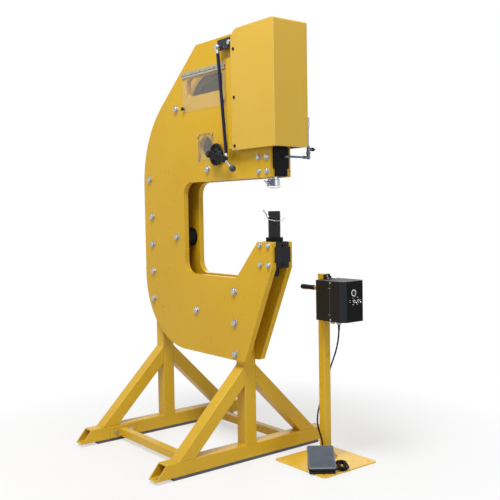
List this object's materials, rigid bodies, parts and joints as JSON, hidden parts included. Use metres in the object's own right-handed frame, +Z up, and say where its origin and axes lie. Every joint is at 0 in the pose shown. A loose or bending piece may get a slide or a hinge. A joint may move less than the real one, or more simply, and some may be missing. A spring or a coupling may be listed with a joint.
{
  "type": "planishing hammer",
  "caption": "Motor-driven planishing hammer: deep C-frame on a bolted stand, flywheel and rocker drive to a ram over a die post, with a loose speed-control pedestal and foot switch.",
  "frame": {"origin": "on the floor under the front post, in the middle plane between the side plates", "axes": "+X to the operator, +Y to the motor side, +Z up"},
  "size_m": [1.2429, 1.01, 1.919],
  "materials": {
    "yellow_paint": "gloss paint",
    "black_paint": "satin black",
    "zinc_steel": "zinc plated",
    "machined_steel": "ground steel",
    "cast_iron": "as cast",
    "black_screw": "black oxide",
    "pad_rubber": "dark slate",
    "clear": "clear sheet",
    "black_plastic": "moulded",
    "gland_grey": "moulded",
    "motor_grey": "grey paint",
    "oiler_metal": "plated brass",
    "case_black": "satin black",
    "board_green": "circuit board",
    "switch_metal": "plated",
    "treadle_grey": "textured",
    "cord_black": "smooth jacket"
  },
  "bodies": {
    "frame": {"near_side_plate": "yellow_paint", "far_side_plate": "yellow_paint", "front_post": "yellow_paint", "rear_post": "yellow_paint", "foot_rails": "yellow_paint", "diagonal_braces": "yellow_paint", "cross_rails": "yellow_paint", "rail_pads": "pad_rubber", "frame_bolts": "zinc_steel", "plate_spacers": "black_paint", "ram_guide_block": "black_paint", "anvil_block": "black_paint", "anvil_cap": "black_paint", "front_cover": "yellow_paint", "cover_screws": "black_screw", "inspection_window": "clear", "guard_hinge": "zinc_steel", "motor": "motor_grey", "drive_belt": "pad_rubber", "flywheel_axle": "zinc_steel", "lift_flange": "black_paint", "drip_oiler": "oiler_metal", "pedestal_plate": "yellow_paint", "pedestal_pole": "yellow_paint", "pedestal_grip": "black_plastic", "drive_case": "case_black", "drive_cover": "case_black", "drive_board": "board_green", "cable_glands": "gland_grey", "pedal_base": "black_plastic", "pedal_cord": "cord_black", "cord_coil": "cord_black"},
    "guard": {"guard_leaf": "zinc_steel", "window_panel": "clear", "guard_knobs": "black_plastic"},
    "flywheel_group": {"flywheel": "cast_iron", "eccentric": "machined_steel", "flywheel_bearings": "zinc_steel"},
    "pulley": {"motor_pulley": "cast_iron"},
    "ram_group": {"ram": "machined_steel", "upper_tool_holder": "machined_steel"},
    "upper_pin": {"upper_lock_pin": "zinc_steel"},
    "upper_bail": {"upper_pin_bail": "zinc_steel"},
    "rocker": {"rocker_beam": "machined_steel", "rocker_pins": "zinc_steel"},
    "rod": {"connecting_rod": "machined_steel"},
    "die_post": {"lower_die_post": "black_paint"},
    "collar": {"height_collar": "black_paint"},
    "lower_pin": {"lower_lock_pin": "zinc_steel"},
    "lower_bail": {"lower_pin_bail": "zinc_steel"},
    "lever": {"lift_lever": "black_paint", "lever_handle": "black_plastic"},
    "link": {"lift_link": "zinc_steel"},
    "lifter": {"lift_shaft": "zinc_steel", "lift_arm": "black_paint"},
    "valve_knob": {"oil_valve_knob": "oiler_metal"},
    "dial": {"speed_knob": "black_plastic"},
    "run_toggle": {"run_switch": "switch_metal"},
    "power_toggle": {"power_switch": "switch_metal"},
    "treadle": {"pedal_treadle": "treadle_grey"}
  },
  "joints": [
    {"name": "flywheel_turn", "type": "hinge", "parent": "frame", "child": "flywheel_group", "pos_m": [-0.18, 0, 1.583], "axis": [0, 1, 0], "continuous": true},
    {"name": "pulley_turn", "type": "hinge", "parent": "frame", "child": "pulley", "pos_m": [-0.43, 0, 1.4], "axis": [0, 1, 0], "continuous": true},
    {"name": "ram_slide", "type": "slide", "parent": "frame", "child": "ram_group", "axis": [0, 0, 1], "range_m": [-0.007, 0.007]},
    {"name": "rocker_turn", "type": "hinge", "parent": "frame", "child": "rocker", "pos_m": [0.095, 0, 1.87], "axis": [0, -1, 0], "range_deg": [-3.4, 3.4]},
    {"name": "rod_turn", "type": "hinge", "parent": "rocker", "child": "rod", "pos_m": [-0.025, 0, 1.87], "axis": [0, -1, 0], "range_deg": [-3.4, 3.4]},
    {"name": "upper_pin_pull", "type": "slide", "parent": "ram_group", "child": "upper_pin", "axis": [0, -1, 0], "range_m": [0, 0.07]},
    {"name": "upper_bail_swing", "type": "hinge", "parent": "upper_pin", "child": "upper_bail", "pos_m": [0.215, -0.037, 1.252], "axis": [0, 0, -1], "range_deg": [0, 110]},
    {"name": "collar_turn", "type": "hinge", "parent": "frame", "child": "collar", "pos_m": [0.215, 0, 1.01], "axis": [0, 0, 1], "range_deg": [0, 3606]},
    {"name": "post_lift", "type": "slide", "parent": "frame", "child": "die_post", "axis": [0, 0, 1], "range_m": [0, 0.06]},
    {"name": "lower_pin_pull", "type": "slide", "parent": "die_post", "child": "lower_pin", "axis": [0, -1, 0], "range_m": [0, 0.07]},
    {"name": "lower_bail_swing", "type": "hinge", "parent": "lower_pin", "child": "lower_bail", "pos_m": [0.215, -0.035, 1.108], "axis": [0, 0, -1], "range_deg": [0, 110]},
    {"name": "lift_lever_turn", "type": "hinge", "parent": "frame", "child": "lever", "pos_m": [-0.105, -0.109, 1.392], "axis": [0, -1, 0], "range_deg": [0, 17]},
    {"name": "lift_link_turn", "type": "hinge", "parent": "lever", "child": "link", "pos_m": [0.013, -0.098, 1.361], "axis": [0, -1, 0], "range_deg": [-17.5, 0]},
    {"name": "lift_shaft_turn", "type": "hinge", "parent": "frame", "child": "lifter", "pos_m": [0.1, 0, 1.87], "axis": [0, -1, 0], "range_deg": [-14.5, 0]},
    {"name": "guard_open", "type": "hinge", "parent": "frame", "child": "guard", "pos_m": [-0.2125, -0.06115, 1.785], "axis": [-1, 0, 0], "range_deg": [0, 80]},
    {"name": "oil_valve_turn", "type": "hinge", "parent": "frame", "child": "valve_knob", "pos_m": [0.28, 0.166, 1.395], "axis": [0, 1, 0], "range_deg": [0, 720]},
    {"name": "speed_knob_turn", "type": "hinge", "parent": "frame", "child": "dial", "pos_m": [0.457, 0.235, 0.777], "axis": [-1, 0, 0], "range_deg": [0, 300]},
    {"name": "run_switch_flip", "type": "hinge", "parent": "frame", "child": "run_toggle", "pos_m": [0.456, 0.231, 0.742], "axis": [0, -1, 0], "range_deg": [0, 30]},
    {"name": "power_switch_flip", "type": "hinge", "parent": "frame", "child": "power_toggle", "pos_m": [0.456, 0.257, 0.742], "axis": [0, -1, 0], "range_deg": [0, 30]},
    {"name": "treadle_press", "type": "hinge", "parent": "frame", "child": "treadle", "pos_m": [0.38094, 0.10858, 0.018], "axis": [-0.6198, -0.7848, 0], "range_deg": [0, 8], "stiffness_Nm_per_rad": 8, "springref_deg": -6.88}
  ],
  "couplings": [
    {"joint": "pulley_turn", "follows": "flywheel_turn", "ratio": 4.875},
    {"joint": "rocker_turn", "follows": "ram_slide", "rad_per_m": 8.3333},
    {"joint": "rod_turn", "follows": "ram_slide", "rad_per_m": -8.3333},
    {"joint": "collar_turn", "follows": "post_lift", "rad_per_m": 1047.2},
    {"joint": "lift_link_turn", "follows": "lift_lever_turn", "ratio": -0.975},
    {"joint": "lift_shaft_turn", "follows": "lift_lever_turn", "ratio": -0.835}
  ]
}
